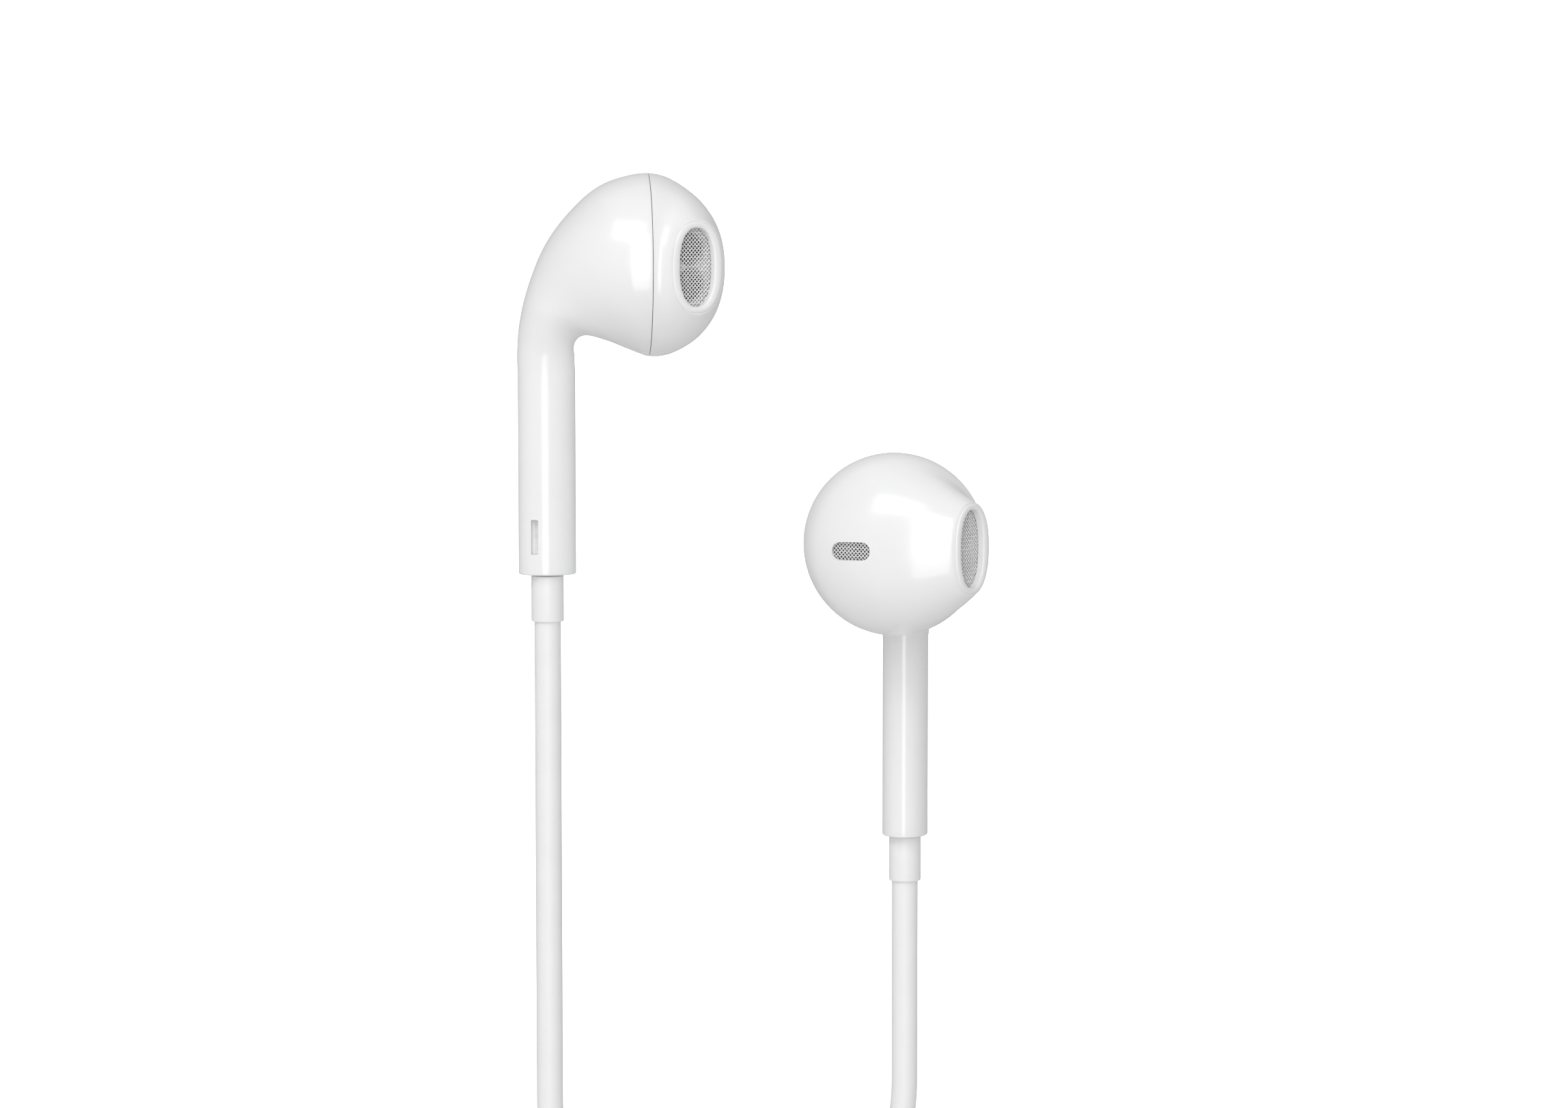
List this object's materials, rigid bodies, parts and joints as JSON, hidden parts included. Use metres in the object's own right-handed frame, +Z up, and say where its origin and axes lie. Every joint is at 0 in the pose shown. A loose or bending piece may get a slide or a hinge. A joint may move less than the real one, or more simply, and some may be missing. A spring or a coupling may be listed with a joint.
{
  "type": "wired earphones",
  "caption": "Mirrored pair of stemmed in-ear earphones with angled oval nozzles, on branch cords that join at a splitter and end in a stereo plug.",
  "frame": {"origin": "centre of the left bud's nozzle rim", "axes": "+Z up along the stems, +X from the left bud to the right bud, +Y to the back"},
  "size_m": [0.0536, 0.0297, 0.2332],
  "materials": {
    "glossy_shell": "polished moulded plastic",
    "soft_jacket": "satin soft jacket",
    "satin_grip": "satin moulded plastic",
    "steel_mesh": "woven fine mesh",
    "port_plastic": "moulded, fine texture",
    "plated_steel": "plated",
    "magnet": "plated sintered magnet",
    "copper": "enamelled copper wire",
    "film": "thin formed film",
    "felt": "felted",
    "board": "laminate with pads",
    "gasket": "soft foam",
    "tie": "soft matt band",
    "nickel": "nickel plated",
    "insulator": "moulded"
  },
  "bodies": {
    "earphones": {"left_rear_housing": "glossy_shell", "left_front_housing": "glossy_shell", "left_nozzle_grille": "steel_mesh", "left_nozzle_port_plate": "port_plastic", "left_vent_grille": "steel_mesh", "left_driver_frame": "port_plastic", "left_driver_yoke": "plated_steel", "left_driver_magnet": "magnet", "left_driver_pole_plate": "plated_steel", "left_damping_felt": "felt", "left_terminal_board": "board", "left_seam_gasket": "gasket", "left_stem_port_mesh": "steel_mesh", "left_stem_end_cap": "glossy_shell", "left_strain_relief": "soft_jacket", "left_cable_crimp": "plated_steel", "left_driver_leads": "copper", "right_rear_housing": "glossy_shell", "right_front_housing": "glossy_shell", "right_nozzle_grille": "steel_mesh", "right_nozzle_port_plate": "port_plastic", "right_vent_grille": "steel_mesh", "right_driver_frame": "port_plastic", "right_driver_yoke": "plated_steel", "right_driver_magnet": "magnet", "right_driver_pole_plate": "plated_steel", "right_damping_felt": "felt", "right_terminal_board": "board", "right_seam_gasket": "gasket", "right_stem_port_mesh": "steel_mesh", "right_stem_end_cap": "glossy_shell", "right_strain_relief": "soft_jacket", "right_cable_crimp": "plated_steel", "right_driver_leads": "copper", "left_cord_upper": "soft_jacket", "left_cord_coil": "soft_jacket", "left_cord_lower": "soft_jacket", "right_cord_upper": "soft_jacket", "right_cord_coil": "soft_jacket", "right_cord_lower": "soft_jacket", "trunk_cord_upper": "soft_jacket", "trunk_cord_coil": "soft_jacket", "trunk_cord_lower": "soft_jacket", "branch_coil_tie": "tie", "trunk_coil_tie": "tie", "splitter_sleeve": "glossy_shell", "splitter_core": "soft_jacket", "plug_relief": "soft_jacket", "plug_grip": "satin_grip", "plug_sleeve_contact": "nickel", "plug_ring_contact": "nickel", "plug_insulators": "insulator", "plug_tip_contact": "nickel"},
    "left_diaphragm_unit": {"left_diaphragm": "film", "left_voice_coil": "copper"},
    "right_diaphragm_unit": {"right_diaphragm": "film", "right_voice_coil": "copper"}
  },
  "joints": [
    {"name": "left_diaphragm_travel", "type": "slide", "parent": "earphones", "child": "left_diaphragm_unit", "axis": [0.9962, 0.0872, 0], "range_m": [-0.00025, 0.00025], "stiffness_N_per_m": 90},
    {"name": "right_diaphragm_travel", "type": "slide", "parent": "earphones", "child": "right_diaphragm_unit", "axis": [-0.1392, -0.9903, 0], "range_m": [-0.00025, 0.00025], "stiffness_N_per_m": 90}
  ]
}
